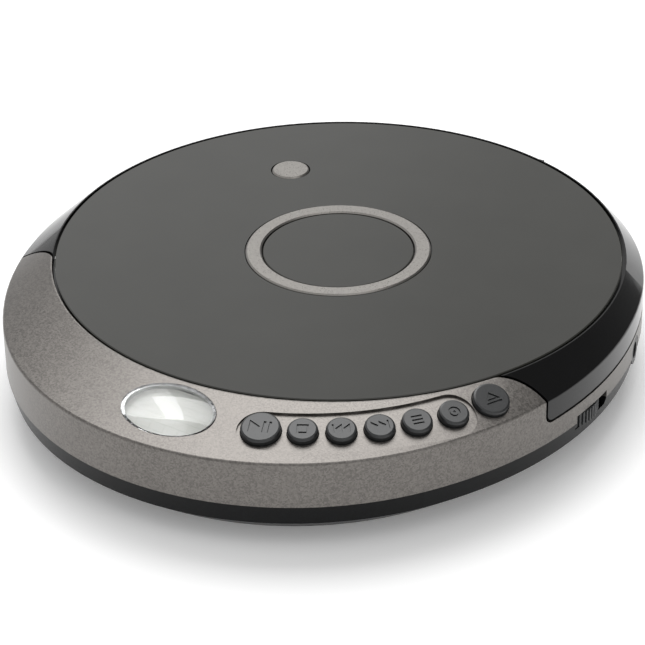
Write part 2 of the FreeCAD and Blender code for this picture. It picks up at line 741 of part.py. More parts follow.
def make_lid_shell():
    """Glossy rim and skirt with the plate that carries the panel, ears and latch tongue."""
    wall = size("wall") - 0.1
    form = rounded_form(size("skirt_height")).common(lid_zone(0.0))
    plate = disc(size("deck_radius"), size("plate_under"), size("panel_under"))
    lid = form.fuse(plate).cut(disc(size("well_radius"), size("panel_under"), 60))
    hollow = loft(egg_wire(wall, 5), egg_wire(wall, size("crease_height") - 0.7))
    hollow = hollow.fuse(loft(egg_wire(wall, size("crease_height") - 0.7),
                              round_wire(size("panel_radius") - 0.9, size("plate_under"))))
    lid = lid.cut(hollow)
    low = size("plate_under") - 1.4
    rib = disc(size("deck_radius"), low, size("plate_under") + 0.2).cut(
        disc(size("deck_radius") - 1.2, 0, 60))
    lid = lid.fuse(rib.cut(block((-30, 40, 0), (30, 100, 60))))
    boss = disc(16.5, size("plate_under") - 0.4, size("plate_under") + 0.2)
    lid = lid.fuse(boss.cut(disc(15.5, 0, 60)))
    y = size("hinge_y")
    z = size("hinge_z")
    gap_half = size("barrel_half") + 0.4
    lid = lid.cut(block((-gap_half, 58, 0), (gap_half, 100, 22.6)))
    lid = lid.cut(block((-27, 61, 0), (27, 100, size("skirt_height") + 1.0)))
    for side in (-1, 1):
        near = size("barrel_half") + size("ear_gap")
        far = near + size("ear_width")
        start = min(side * near, side * far)
        ear = Part.makeCylinder(size("ear_radius"), size("ear_width"), Vector(start, y, z),
                                Vector(1, 0, 0))
        ear = ear.fuse(block((start, y - 1.5, z), (start + size("ear_width"), y + 1.5,
                                                   size("plate_under") + 0.3)))
        lid = lid.fuse(ear)
    for side in (-1, 1):
        bore = Part.makeCylinder(size("pin_radius") + size("pin_clearance"), 12,
                                 Vector(side * (size("barrel_half") + 0.1), y, z),
                                 Vector(side, 0, 0))
        lid = lid.cut(bore)
    tongue = block((size("deck_radius") - 1.2, -3, size("deck_top") + size("deck_rim") + 0.5),
                   (size("deck_radius") - 0.2, 3, size("plate_under") + 0.2))
    lid = lid.fuse(placed(tongue, Placement(Vector(0, 0, 0), latch_frame())))
    keep_shape(lid.removeSplitter(), "lid_shell")


def make_lid_panel():
    """Flat glossy panel with openings for the trim ring and the badge."""
    body = new_body("lid_panel_body")
    sketch = new_sketch(body, "panel_outline", "XY_Plane", "dims.panel_under")
    add_circle(sketch, "dims.panel_radius")
    pad(body, sketch, "dims.panel_thickness", "panel_plate")
    doc.recompute()
    holes = new_sketch(body, "panel_holes", "XY_Plane", "dims.panel_top")
    add_circle(holes, "dims.ring_outer + dims.trim_gap")
    add_circle(holes, "dims.badge_radius + dims.trim_gap",
               "dims.badge_reach * cos(dims.badge_angle * 1 deg)",
               "dims.badge_reach * sin(dims.badge_angle * 1 deg)")
    pocket(body, holes, "dims.panel_thickness", "panel_openings")
    bevel = body.newObject("PartDesign::Chamfer", "panel_bevel")
    top = size("panel_top")
    names = ["Edge%d" % (number + 1) for number, edge in enumerate(body.Shape.Edges)
             if abs(edge.BoundBox.ZMin - top) < 1e-6 and abs(edge.BoundBox.ZMax - top) < 1e-6
             and edge.BoundBox.XLength > size("panel_radius")]
    bevel.Base = (body.getObject("panel_openings"), names)
    bevel.Size = 0.2
    doc.recompute()
    keep(body, "lid_panel")


def make_lid_ring():
    """Metallic trim ring with a bevelled outer edge, standing a little proud."""
    top = "dims.panel_top + dims.ring_rise"
    body = turned("lid_ring_body", [
        ("dims.ring_inner", "dims.panel_under"), ("dims.ring_outer", "dims.panel_under"),
        ("dims.ring_outer", "dims.panel_top"), ("dims.ring_outer - 0.35", top),
        ("dims.ring_inner + 0.35", top), ("dims.ring_inner", "dims.panel_top")])
    keep(body, "lid_ring")


def make_lid_centre():
    """Glossy disc inside the trim ring."""
    edge = "dims.ring_inner - dims.trim_gap"
    body = turned("lid_centre_body", [
        ("0", "dims.panel_under"), (edge, "dims.panel_under"), (edge, "dims.panel_top - 0.2"),
        (edge + " - 0.2", "dims.panel_top"), ("0", "dims.panel_top")])
    keep(body, "lid_centre_disc")


def make_lid_badge():
    """Plain metallic badge with a bevelled edge."""
    top = "dims.panel_top + 0.25"
    body = turned("lid_badge_body", [
        ("0", "dims.panel_under"), ("dims.badge_radius", "dims.panel_under"),
        ("dims.badge_radius", "dims.panel_top - 0.1"), ("dims.badge_radius - 0.35", top),
        ("0", top)])
    keep(body, "lid_badge")
    body.setExpression(".Placement.Base.x", "dims.badge_reach * cos(dims.badge_angle * 1 deg)")
    body.setExpression(".Placement.Base.y",
                       "dims.spindle_y + dims.badge_reach * sin(dims.badge_angle * 1 deg)")


def make_hinge_pins():
    """Two steel pins, pressed into the barrel and running in the lid's ears."""
    pins = []
    for side, name in ((-1, "left"), (1, "right")):
        start = "dims.barrel_half - 5.5" if side > 0 else "-dims.barrel_half - 2.7"
        pins.append(cylinder("hinge_pin_" + name, (start, "dims.hinge_y", "dims.hinge_z"),
                             "dims.pin_radius", "8.2", ALONG_X))
    keep(fuse("pins", pins), "hinge_pins")


# ---------------------------------------------------------------- buttons, display and latch

def button_icon(kind, scale):
    """Outlines of an engraved symbol, in the button face's own plane."""
    def closed(points):
        corners = [Vector(x * scale, y * scale, 0) for x, y in points]
        return Part.Face(Part.makePolygon(corners + corners[:1]))

    def bar(x0, y0, x1, y1):
        return closed(((x0, y0), (x1, y0), (x1, y1), (x0, y1)))

    def arrow(x, y, step):
        return closed(((x, y - 0.42), (x + step, y), (x, y + 0.42)))

    if kind == "play_button":
        return [arrow(-0.62, 0, 0.62), bar(0.12, -0.4, 0.26, 0.4), bar(0.42, -0.4, 0.56, 0.4)]
    if kind == "stop_button":
        return [bar(-0.42, -0.42, 0.42, 0.42).cut(bar(-0.28, -0.28, 0.28, 0.28))]
    if kind == "previous_button":
        return [bar(-0.66, -0.4, -0.53, 0.4), arrow(0.05, 0, -0.52), arrow(0.62, 0, -0.52)]
    if kind == "next_button":
        return [bar(0.53, -0.4, 0.66, 0.4), arrow(-0.05, 0, 0.52), arrow(-0.62, 0, 0.52)]
    if kind == "program_button":
        return [bar(-0.4, y - 0.07, 0.4, y + 0.07) for y in (-0.32, 0, 0.32)]
    if kind == "mode_button":
        outer = Part.Face(Part.Wire([Part.makeCircle(0.44 * scale)]))
        inner = Part.Face(Part.Wire([Part.makeCircle(0.3 * scale)]))
        return [outer.cut(inner), bar(-0.08, -0.08, 0.08, 0.08)]
    triangle = closed(((-0.5, -0.12), (0.5, -0.12), (0, 0.42)))
    inside = closed(((-0.26, -0.02), (0.26, -0.02), (0, 0.25)))
    return [triangle.cut(inside), bar(-0.5, -0.36, 0.5, -0.24)]


def make_button(name, direction, radius):
    """Rubber-coated cap with a retaining flange, a short stem and an engraved symbol."""
    share = share_of(name)
    if name == "open_button":
        foot = [("0", "-1.8"), ("1.6", "-1.8"), ("1.6", "-1.3"), (radius, "-1.3")]
    else:
        foot = [("0", "-3.4"), ("1.2", "-3.4"), ("1.2", "-2.9"), (radius + " + 0.4", "-2.9"),
                (radius + " + 0.4", "-2.2"), (radius, "-2.2")]
    body = turned(name + "_cap", foot + [
        (radius, "dims.button_rise - 0.5"), (radius + " - 0.15", "dims.button_rise - 0.15"),
        (radius + " - 0.5", "dims.button_rise"), ("0", "dims.button_rise")])
    doc.recompute()
    shape = body.Shape.copy()
    scale = value(radius) - 0.3
    for face in button_icon(name, scale):
        symbol = face.copy()
        symbol.translate(Vector(0, 0, size("button_rise") - size("icon_depth")))
        shape = shape.cut(symbol.extrude(Vector(0, 0, 2)))
    keep_shape(shape, name, on_shoulder(direction, share))


def switch_places():
    """Where each button's axis meets the top of its switch."""
    places = []
    for name, direction, radius in control_places():
        share = share_of(name)
        frame = on_shoulder(direction, share)
        axis = frame.Rotation.multVec(Vector(0, 0, 1))
        top = size("key_board_top") + 1.8
        drop = (frame.Base.z - top) / axis.z
        places.append((name, frame.Base - axis * drop))
    return places


def make_key_board():
    """Curved board under the front of the cabinet."""
    low = size("key_board_height")
    board = loft(egg_wire(3.0, low), egg_wire(3.0, size("key_board_top")))
    board = board.common(front_zone(-2.6)).cut(disc(66.6, 0, 60))
    keep_shape(board, "key_board")
    switches = []
    for name, place in switch_places():
        if name == "open_button":
            continue
        top = size("key_board_top")
        switches.append(block((place.x - 1.9, place.y - 1.9, top), (place.x + 1.9, place.y + 1.9,
                                                                    top + 1.3)))
        switches.append(disc(0.9, top + 1.3, top + 1.6, place.x, place.y))
    solid = []
    for body_block, plunger in zip(switches[::2], switches[1::2]):
        solid.append(body_block.fuse(plunger))
    keep_shape(Part.makeCompound(solid), "key_switches")


def make_display():
    """Domed clear lens, its bright inner wall and the pale display glass below."""
    frame = on_shoulder(270, size("lens_share"))
    long_half = size("lens_half_long") - 0.1
    wide_half = size("lens_half_wide") - 0.1
    dome_rise = size("lens_dome")
    ball_radius = (long_half ** 2 + dome_rise ** 2) / (2 * dome_rise)
    ball = Part.makeSphere(ball_radius, Vector(0, 0, dome_rise - ball_radius))
    cap = ball.common(block((-50, -50, 0), (50, 50, 50)))
    flatten = FreeCAD.Matrix()
    flatten.scale(1.0, wide_half / long_half, 1.0)
    cap = cap.transformGeometry(flatten)
    lens = oval(long_half, wide_half, -0.9, 0.0).fuse(cap)
    keep_shape(lens, "display_lens", frame)
    wall = oval(long_half, wide_half, -2.6, -0.9).cut(
        oval(long_half - 0.8, wide_half - 0.8, -9, 9))
    keep_shape(wall, "display_surround", frame)
    glass = block((-long_half + 0.6, -wide_half + 1.0, -4.0), (long_half - 0.6, wide_half - 1.0,
                                                              -2.6))
    keep_shape(glass, "display_glass", frame)


def make_latch():
    """Sliding catch that the release button pushes outwards."""
    reach = size("well_radius")
    nose = block((reach - 0.1, -3.0, 20.4), (reach + 2.2, 3.0, 21.1))
    arm = block((reach + 1.9, -3.0, 17.6), (reach + 3.0, 3.0, 21.1))
    foot = block((reach + 1.9, -3.0, 17.6), (reach + 5.6, 3.0, 18.6))
    latch = nose.fuse(arm).fuse(foot).removeSplitter()
    keep_shape(latch, "lid_latch", Placement(Vector(0, 0, 0), latch_frame()))


# ---------------------------------------------------------------- side controls and sockets

def make_volume_wheel():
    """Knurled thumbwheel with a boss that turns on the control's spindle."""
    body = new_body("wheel_body")
    sketch = new_sketch(body, "wheel_outline", "XY_Plane", "dims.wheel_low")
    add_circle(sketch, "dims.wheel_radius")
    pad(body, sketch, "dims.wheel_width", "wheel_disc")
    doc.recompute()
    groove = new_sketch(body, "knurl_groove", "XY_Plane", "dims.wheel_low + dims.wheel_width")
    reach = "dims.wheel_radius"
    add_outline(groove, [(reach + " - 0.35", "-0.18"), (reach + " + 0.3", "-0.42"),
                         (reach + " + 0.3", "0.42"), (reach + " - 0.35", "0.18")])
    cut_one = pocket(body, groove, "dims.wheel_width", "knurl_cut")
    knurl = body.newObject("PartDesign::PolarPattern", "knurl")
    knurl.Originals = [cut_one]
    knurl.Axis = (groove, ["N_Axis"])
    knurl.Angle = 360.0
    knurl.Occurrences = 64
    body.Tip = knurl
    doc.recompute()
    bore = new_sketch(body, "wheel_bore", "XY_Plane", "dims.wheel_low + dims.wheel_width")
    add_circle(bore, "1.5 + dims.pin_clearance")
    pocket(body, bore, "dims.wheel_width", "wheel_bore_cut")
    keep(body, "volume_wheel")
    body.Placement.Base.x = wheel_centre_x()
    body.setExpression(".Placement.Base.y", "dims.spindle_y - dims.wheel_y")


def make_volume_control():
    """Potentiometer under the wheel, with the spindle that the wheel turns on."""
    x = wheel_centre_x()
    y = -size("wheel_y")
    low = size("board_top")
    control = disc(5.0, low, size("wheel_low") - 0.3, x, y)
    control = control.fuse(disc(1.5, low, size("wheel_low") + size("wheel_width"), x, y))
    keep_shape(control, "volume_control")


def make_sockets():
    """Headphone socket with its ring, and the power socket with its centre pin."""
    frame = wall_frame(size("jack_angle"), size("jack_height"))
    depth = size("jack_depth")
    low = size("board_top") - size("jack_height")
    ring = Part.makeCylinder(size("jack_ring"), 4.0, Vector(-4.1, 0, 0), Vector(1, 0, 0))
    case = block((-depth - 0.8, -3.6, low), (-3.4, 3.6, 2.5))
    bore = Part.makeCylinder(size("jack_radius"), depth, Vector(-depth, 0, 0), Vector(1, 0, 0))
    keep_shape(ring.fuse(case).cut(bore), "headphone_socket", frame)
    frame = wall_frame(size("power_angle"), size("jack_height"))
    radius = size("power_radius")
    ring = Part.makeCylinder(radius + 1.0, 4.0, Vector(-4.1, 0, 0), Vector(1, 0, 0))
    case = block((-10.5, -4.0, low), (-3.4, 4.0, 2.6))
    bore = Part.makeCylinder(radius, 9.5, Vector(-9.5, 0, 0), Vector(1, 0, 0))
    pin = Part.makeCylinder(0.6, 8.6, Vector(-9.6, 0, 0), Vector(1, 0, 0))
    keep_shape(ring.fuse(case).cut(bore).fuse(pin), "power_socket", frame)


def make_main_board():
    """Board along the right-hand side, with its parts soldered on."""
    low = size("board_height")
    top = size("board_top")
    board = loft(egg_wire(3.4, low), egg_wire(3.4, top))
    board = board.common(block((28.0, -44, 0), (90, 21, 60)).fuse(
        block((36, 20, 0), (90, 40, 60))))
    for place in screw_places():
        board = board.cut(disc(3.5, 0, 60, place.x, place.y))
    keep_shape(board, "main_board")
    chips = []
    for x, y, length, width, height in ((34, -24, 9, 9, 1.4), (33, -6, 10, 10, 1.2),
                                        (44, 8, 6, 5, 1.1), (31, 8, 5, 8, 2.0), (50, -32, 5, 3, 1.0)):
        chips.append(block((x, y, top), (x + length, y + width, top + height)))
    for x, y in ((32, -34), (40, -38), (46, -32 + 30)):
        chips.append(disc(2.0, top, top + 4.2, x + 1, y))
    keep_shape(Part.makeCompound(chips), "board_parts")


# ---------------------------------------------------------------- battery bay

def make_battery_door():
    """Flat door in the underside, hinged at its front edge on two stub pins."""
    gap = size("door_gap")
    y, z = hinge_line()
    half = size("bay_length") / 2 - gap
    low = size("foot_height")
    high = low + size("door_thickness")
    door = block((-half, y - 0.65, low), (half, size("bay_rear") - gap, high))
    for side in (-1, 1):
        start = side * (half - 1.0)
        door = door.fuse(Part.makeCylinder(0.55, 1.9, Vector(start, y, z), Vector(side, 0, 0)))
    grip = 3.0
    for step in range(5):
        edge = size("bay_rear") - 4 - 1.4 * step
        door = door.cut(block((-grip * 2, edge - 0.35, low - 1), (grip * 2, edge + 0.35, low + 0.3)))
    keep_shape(door.removeSplitter(), "battery_door")


def make_battery_contacts():
    """Two springs, drawn as closed turns on a rib, and two flat plates, head to tail."""
    half = size("bay_length") / 2
    height = size("floor_top") + size("cell_radius") + 0.2
    springs = []
    plates = []
    for row, side in ((1, 1), (3, -1)):
        y = size("bay_front") + row * size("bay_width") / 4
        coil = block((2.6, -0.2, 0), (3.2, 0.2, 2.2))
        for step in range(4):
            coil = coil.fuse(Part.makeTorus(3.1 - 0.1 * step, 0.25, Vector(0, 0, 0.25 + 0.55 * step)))
        turn = Rotation(Vector(0, 1, 0), 90 * side)
        springs.append(placed(coil, Placement(Vector(-side * (half - 0.75), y, height), turn)))
        sheet_x = -side * (half - 0.25)
        springs.append(block((sheet_x - 0.2, y - 5, height - 4), (sheet_x + 0.2, y + 5, height + 4)))
        other = side * (half - 0.25)
        plate = block((other - 0.2, y - 5, height - 4), (other + 0.2, y + 5, height + 4))
        button = Part.makeCylinder(2.4, 0.5, Vector(other - side * 0.2, y, height),
                                   Vector(-side, 0, 0))
        plates.append(plate.fuse(button))
    keep_shape(Part.makeCompound(springs), "battery_springs")
    keep_shape(Part.makeCompound(plates), "battery_plates")


# ---------------------------------------------------------------- disc mechanism

def make_chassis():
    """Flat metal chassis with lugs for the guide rods and a bracket for the sled motor."""
    low = size("chassis_height")
    top = size("chassis_top")
    plate = block((-41, -71, low), (24.5, 16, top)).common(disc(74.0, 0, 60))
    plate = plate.cut(block((-13, -62, 0), (13, -12, 60)))
    for x in (-size("rod_x"), size("rod_x")):
        for y0, y1 in ((-71.0, -68.2), (-9.0, -6.2)):
            lug = block((x - 2.2, y0, top - 0.2), (x + 2.2, y1, size("rod_z") + 2.2))
            plate = plate.fuse(lug)
    for x in (-size("rod_x"), size("rod_x")):
        plate = plate.cut(Part.makeCylinder(size("rod_radius"), 62.4, Vector(x, -69.9, size("rod_z")),
                                            Vector(0, 1, 0)))
    motor = sled_motor_place()
    shelf_low = top + 1.7
    shelf = block((motor.x - 7.3, motor.y - 1, shelf_low), (motor.x + 3.0, motor.y + 6.5,
                                                           shelf_low + 0.5))
    shelf = shelf.fuse(disc(5.8, shelf_low, shelf_low + 0.5, motor.x, motor.y))
    shelf = shelf.fuse(block((motor.x - 7.3, motor.y + 3.8, top - 0.2),
                             (motor.x + 3.0, motor.y + 6.5, shelf_low + 0.2)))
    shelf = shelf.cut(disc(3.9, 0, shelf_low + 1, motor.x, motor.y))
    shelf = shelf.cut(disc(4.4, shelf_low - 0.1, 60, -size("gear_x"), -size("gear_y")))
    plate = plate.fuse(shelf)
    for x, y in damper_places():
        plate = plate.cut(disc(1.2, 0, 60, x, y))
    keep_shape(plate.removeSplitter(), "mech_chassis")
    dampers = []
    for x, y in damper_places():
        under = disc(2.4, low - 1.6, low, x, y)
        neck = disc(1.2, low - 0.1, top + 0.1, x, y)
        over = disc(2.2, top, top + 0.9, x, y)
        dampers.append(under.fuse(neck).fuse(over))
    keep_shape(Part.makeCompound(dampers), "mech_dampers")


def make_guide_rods():
    """Two polished steel rods."""
    rods = []
    for sign, name in (("-", "left"), ("", "right")):
        rods.append(cylinder("rod_" + name, (sign + "dims.rod_x", "-7.5", "dims.rod_z"),
                             "dims.rod_radius", "62.4", ALONG_FRONT))
    keep(fuse("rods", rods), "guide_rods")


def make_spindle_motor():
    """Flat motor with a bearing bush for the spindle shaft."""
    body = turned("motor_body", [
        ("dims.shaft_radius + dims.pin_clearance", "dims.chassis_top"),
        ("dims.motor_radius", "dims.chassis_top"), ("dims.motor_radius", "dims.chassis_top + 5.6"),
        ("3.0", "dims.chassis_top + 5.6"), ("3.0", "dims.chassis_top + 6.4"),
        ("dims.shaft_radius + dims.pin_clearance", "dims.chassis_top + 6.4")])
    keep(body, "spindle_motor")


def make_turntable():
    """Moulded turntable with its boss, the hub that centres the disc, pad ring and shaft."""
    seat = "dims.seat_height - 0.4"
    body = turned("turntable_body", [
        ("dims.shaft_radius", "dims.chassis_top + 6.9"), ("3.6", "dims.chassis_top + 6.9"),
        ("3.6", "dims.seat_height - 1.6"), ("dims.table_radius", "dims.seat_height - 1.6"),
        ("dims.table_radius", seat), ("dims.shaft_radius", seat)])
    keep(body, "turntable")
    hub = turned("hub_body", [
        ("dims.shaft_radius", seat), ("dims.hub_radius", seat),
        ("dims.hub_radius", "dims.seat_height + dims.hub_rise - 0.9"),
        ("dims.hub_radius - 0.9", "dims.seat_height + dims.hub_rise"),
        ("2.4", "dims.seat_height + dims.hub_rise"),
        ("2.0", "dims.seat_height + dims.hub_rise - 0.5"),
        ("dims.shaft_radius", "dims.seat_height + dims.hub_rise - 0.5")])
    doc.recompute()
    centre = hub.Shape.copy()
    for ball in ball_places():
        socket = Part.makeCylinder(1.3, 5.0, Vector(0, 0, ball.z), Vector(ball.x, ball.y, 0))
        socket.translate(Vector(ball.x, ball.y, 0) * (3.4 / math.hypot(ball.x, ball.y)))
        centre = centre.cut(socket)
    keep_shape(centre, "centring_hub")
    pad_ring = turned("pad_ring", [
        ("dims.table_radius - 3.2", seat), ("dims.table_radius - 0.5", seat),
        ("dims.table_radius - 0.5", "dims.seat_height"),
        ("dims.table_radius - 3.2", "dims.seat_height")])
    keep(pad_ring, "turntable_pad")
    keep(cylinder("shaft", ("0", "0", "dims.chassis_top + 0.4"), "dims.shaft_radius",
                  "dims.seat_height + dims.hub_rise - dims.chassis_top - 0.9"), "spindle_shaft")


def ball_places():
    reach = size("hub_radius") - 0.9
    height = size("seat_height") + 1.1
    return [Vector(reach * math.cos(math.radians(turn)), reach * math.sin(math.radians(turn)), height)
            for turn in (90, 210, 330)]


def make_hub_balls():
    """Three sprung balls that hold the disc on the hub."""
    for number, place in enumerate(ball_places(), start=1):
        keep_shape(Part.makeSphere(1.2, place), "hub_ball_%d" % number)


def make_pickup():
    """Moulded sled with its bushing, fork and drive rack."""
    y = -size("lens_start")
    rod_x = size("rod_x")
    rod_z = size("rod_z")
    radius = size("rod_radius")
    body = block((-15.5, y - 10, 9.0), (15.5, y + 9, 15.8))
    body = body.cut(block((-6.6, y - 4.4, 11.5), (6.6, y + 4.4, 60)))
    body = body.cut(block((-12.6, y - 6.5, 15.0), (-8.0, y + 6.5, 60)))
    bush = block((15.3, y - 8, 10.4), (rod_x + 2.6, y + 8, 15.4))
    bush = bush.cut(Part.makeCylinder(radius + 0.04, 60, Vector(rod_x, y - 30, rod_z),
                                      Vector(0, 1, 0)))
    fork = block((-rod_x - 2.4, y - 2.5, 11.9), (-15.3, y + 2.5, 15.0))
    fork = fork.cut(block((-rod_x - 5, y - 5, rod_z - radius - 0.08),
                          (-rod_x + radius + 0.2, y + 5, rod_z + radius + 0.08)))
    arm = block((-size("rack_x") + 1.2, y - 9, 10.3), (-15.3, y + 8, 11.3))
    body = body.fuse(bush).fuse(fork).fuse(arm)
    keep_shape(body.removeSplitter(), "pickup_body")
    keep_shape(rack_shape(), "sled_rack")


def rack_shape():
    """Straight rack whose teeth face the double gear."""
    module = size("gear_module")
    pitch = math.pi * module
    line = -size("rack_x")
    back = line + 1.2
    count = int(math.ceil((size("sled_travel") + 5.5) / pitch))
    first = -size("gear_y") - 3.0
    low = 10.3
    high = 11.3
    tip = 0.8 * module
    root = 1.25 * module
    slope = math.tan(math.radians(20))
    half = pitch / 4 - 0.075
    start_index = -int(3.0 // pitch)
    rack = block((line + root, first, low), (back, first + count * pitch, high))
    for step in range(start_index, start_index + count - 1):
        y = -size("gear_y") + (step + 0.5) * pitch
        corners = [Vector(line - tip, y - half + tip * slope, low),
                   Vector(line - tip, y + half - tip * slope, low),
                   Vector(line + root + 0.05, y + half + root * slope, low),
                   Vector(line + root + 0.05, y - half - root * slope, low)]
        face = Part.Face(Part.makePolygon(corners + corners[:1]))
        rack = rack.fuse(face.extrude(Vector(0, 0, high - low)))
    return rack.removeSplitter()


def gear_shape(teeth, low, high, first=0.0):
    """Spur gear with involute flanks, its first tooth in the given direction."""
    module = size("gear_module")
    radius = module * teeth / 2
    base = radius * math.cos(math.radians(20))
    outer = radius + 0.8 * module
    root = radius - 1.25 * module
    start = max(base, root)
    half = math.pi / (2 * teeth) - 0.075 / radius

    def involute(r):
        angle = math.acos(min(1.0, base / r))
        return math.tan(angle) - angle

    points = []
    for tooth in range(teeth):
        centre = math.radians(first) + 2 * math.pi * tooth / teeth
        radii = [start + (outer - start) * step / 4 for step in range(5)]
        flank = [(r, half + involute(radius) - involute(r)) for r in radii]
        flank = [(root, half + involute(radius) - involute(start))] + flank
        for r, turn in flank:
            points.append(Vector(r * math.cos(centre - turn), r * math.sin(centre - turn), low))
        for r, turn in reversed(flank):
            points.append(Vector(r * math.cos(centre + turn), r * math.sin(centre + turn), low))
    face = Part.Face(Part.makePolygon(points + points[:1]))
    return face.extrude(Vector(0, 0, high - low))


MESH_TURN = 123.75


def sled_motor_place():
    reach = size("gear_large") + size("gear_small") + 0.05
    turn = math.radians(MESH_TURN)
    return Vector(-size("gear_x") + reach * math.cos(turn), -size("gear_y") + reach * math.sin(turn),
                  0)


def make_sled_drive():
    """Double gear on its post, pinion, and the small motor that turns it."""
    top = size("chassis_top")
    x = -size("gear_x")
    y = -size("gear_y")
    double = gear_shape(32, top + 0.5, top + 1.5).fuse(gear_shape(12, top + 1.4, top + 3.1))
    double = double.cut(disc(size("post_radius") + size("pin_clearance"), 0, 60))
    double.translate(Vector(x, y, 0))
    keep_shape(double.removeSplitter(), "double_gear")
    post = cylinder("post", ("-dims.gear_x", "-dims.gear_y", "dims.chassis_top"),
                    "dims.post_radius", "3.5")
    keep(post, "gear_post")
    motor = sled_motor_place()
    pinion = gear_shape(12, top + 0.4, top + 1.55, MESH_TURN + 180 + 15)
    pinion = pinion.fuse(disc(0.5, top + 0.4, top + 4.4))
    pinion.translate(motor)
    keep_shape(pinion, "motor_pinion")
    case = disc(5.4, top + 2.2, top + 8.0, motor.x, motor.y)
    case = case.cut(disc(0.55, 0, top + 4.6, motor.x, motor.y))
    keep_shape(case, "sled_motor")


def make_lens():
    """Sprung lens holder and the lens in it."""
    y = -size("lens_start")
    holder = block((-5.5, y - 3.8, 13.4), (5.5, y + 3.8, 16.6))
    holder = holder.fuse(disc(3.4, 16.5, 17.3, 0, y))
    holder = holder.cut(disc(2.4, 16.2, 60, 0, y)).cut(disc(1.6, 0, 60, 0, y))
    keep_shape(holder, "lens_holder")
    ball = Part.makeSphere(3.2, Vector(0, y, 17.8 - 3.2))
    lens = disc(2.4, 16.2, 60, 0, y).common(ball.fuse(disc(2.4, 16.2, 16.6, 0, y)))
    keep_shape(lens, "pickup_lens")


make_bottom_case()
make_upper_cabinet()
make_disc_deck()
make_rubber_feet()
make_case_screws()
make_lid_shell()
make_lid_panel()
make_lid_ring()
make_lid_centre()
make_lid_badge()
make_hinge_pins()
for control_name, control_direction, control_radius in control_places():
    make_button(control_name, control_direction, control_radius)
make_key_board()
make_display()
make_latch()
make_volume_wheel()
make_volume_control()
make_sockets()
make_main_board()
make_battery_door()
make_battery_contacts()
make_chassis()
make_guide_rods()
make_spindle_motor()
make_turntable()
make_hub_balls()
make_pickup()
make_sled_drive()
make_lens()
doc.recompute()

for item in doc.Objects:
    if "Invalid" in item.State or "Error" in item.State:
        raise RuntimeError("%s (%s) failed: %s" % (item.Name, item.Label, item.State))
for piece in pieces:
    if piece.Shape.isNull() or not piece.Shape.isValid() or not piece.Shape.Solids:
        raise RuntimeError("%s has no valid solid" % piece.Label)

os.makedirs("parts", exist_ok=True)
for piece in pieces:
    piece.Shape.exportStep(os.path.join("parts", piece.Label + ".step"))
    print("%-20s solids %2d  volume %9.1f" % (piece.Label, len(piece.Shape.Solids),
                                              piece.Shape.Volume))
print("%d nodes" % len(pieces))
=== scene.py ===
import json
import math

import bpy
import numpy as np
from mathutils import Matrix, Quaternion, Vector


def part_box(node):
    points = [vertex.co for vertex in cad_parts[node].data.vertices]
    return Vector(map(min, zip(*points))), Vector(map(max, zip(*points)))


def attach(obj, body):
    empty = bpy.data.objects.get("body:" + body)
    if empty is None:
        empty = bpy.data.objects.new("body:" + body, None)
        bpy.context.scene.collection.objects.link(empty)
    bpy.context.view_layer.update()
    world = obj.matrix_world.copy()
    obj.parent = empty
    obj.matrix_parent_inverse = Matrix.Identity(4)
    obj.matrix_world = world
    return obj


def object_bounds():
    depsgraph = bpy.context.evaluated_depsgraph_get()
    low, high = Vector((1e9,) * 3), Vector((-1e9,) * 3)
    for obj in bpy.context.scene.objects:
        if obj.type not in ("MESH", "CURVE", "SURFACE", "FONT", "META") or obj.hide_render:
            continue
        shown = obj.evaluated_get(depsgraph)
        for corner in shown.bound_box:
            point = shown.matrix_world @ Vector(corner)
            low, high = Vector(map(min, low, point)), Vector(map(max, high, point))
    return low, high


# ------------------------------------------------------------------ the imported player
# A portable disc player: a shallow case, a painted upper cabinet with the controls, a hinged
# lid and the disc mechanism between them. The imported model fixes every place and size.
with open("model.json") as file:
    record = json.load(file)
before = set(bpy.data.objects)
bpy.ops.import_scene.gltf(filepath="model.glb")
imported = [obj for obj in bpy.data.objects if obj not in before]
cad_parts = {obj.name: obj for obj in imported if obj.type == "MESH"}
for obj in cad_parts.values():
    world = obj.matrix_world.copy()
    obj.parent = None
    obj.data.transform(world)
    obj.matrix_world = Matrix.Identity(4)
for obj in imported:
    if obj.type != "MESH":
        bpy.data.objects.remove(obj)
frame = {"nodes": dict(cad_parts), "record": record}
cad_low, cad_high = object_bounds()
nodes = frame["nodes"]
MM = 0.001

# ------------------------------------------------------------------ camera
# A long lens looks down on the front right of the player. Its distance is taken from the
# middle of the lid's panel, and it aims a little behind and below that.
panel_low, panel_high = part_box("lid_panel")
panel_middle = Vector(((panel_low.x + panel_high.x) / 2, (panel_low.y + panel_high.y) / 2,
                       panel_high.z))
camera_azimuth = math.radians(29.3)
camera_elevation = math.radians(29.03)
camera_distance = 642.8 * MM
camera_roll = math.radians(-0.953)
aim = panel_middle + Vector((-3.3, -1.9, -18.9)) * MM
away = Vector((math.sin(camera_azimuth) * math.cos(camera_elevation),
               -math.cos(camera_azimuth) * math.cos(camera_elevation),
               math.sin(camera_elevation)))
camera_data = bpy.data.cameras.new("camera")
camera_data.lens = 159.9
camera_data.sensor_width = 36.0
camera_data.clip_start = 0.01
camera = bpy.data.objects.new("camera", camera_data)
camera.location = panel_middle + away * camera_distance
camera.rotation_mode = "QUATERNION"
looking = (aim - camera.location).to_track_quat("-Z", "Y")
camera.rotation_quaternion = looking @ Quaternion((0, 0, 1), camera_roll)
bpy.context.scene.collection.objects.link(camera)
bpy.context.scene.camera = camera
bpy.context.scene.view_settings.view_transform = "Standard"

# ------------------------------------------------------------------ studio
# A white card table in a pale room, lit by one broad softbox high behind the player. The room
# darkens towards the rear right, which is what the lid's right-hand shoulder mirrors.


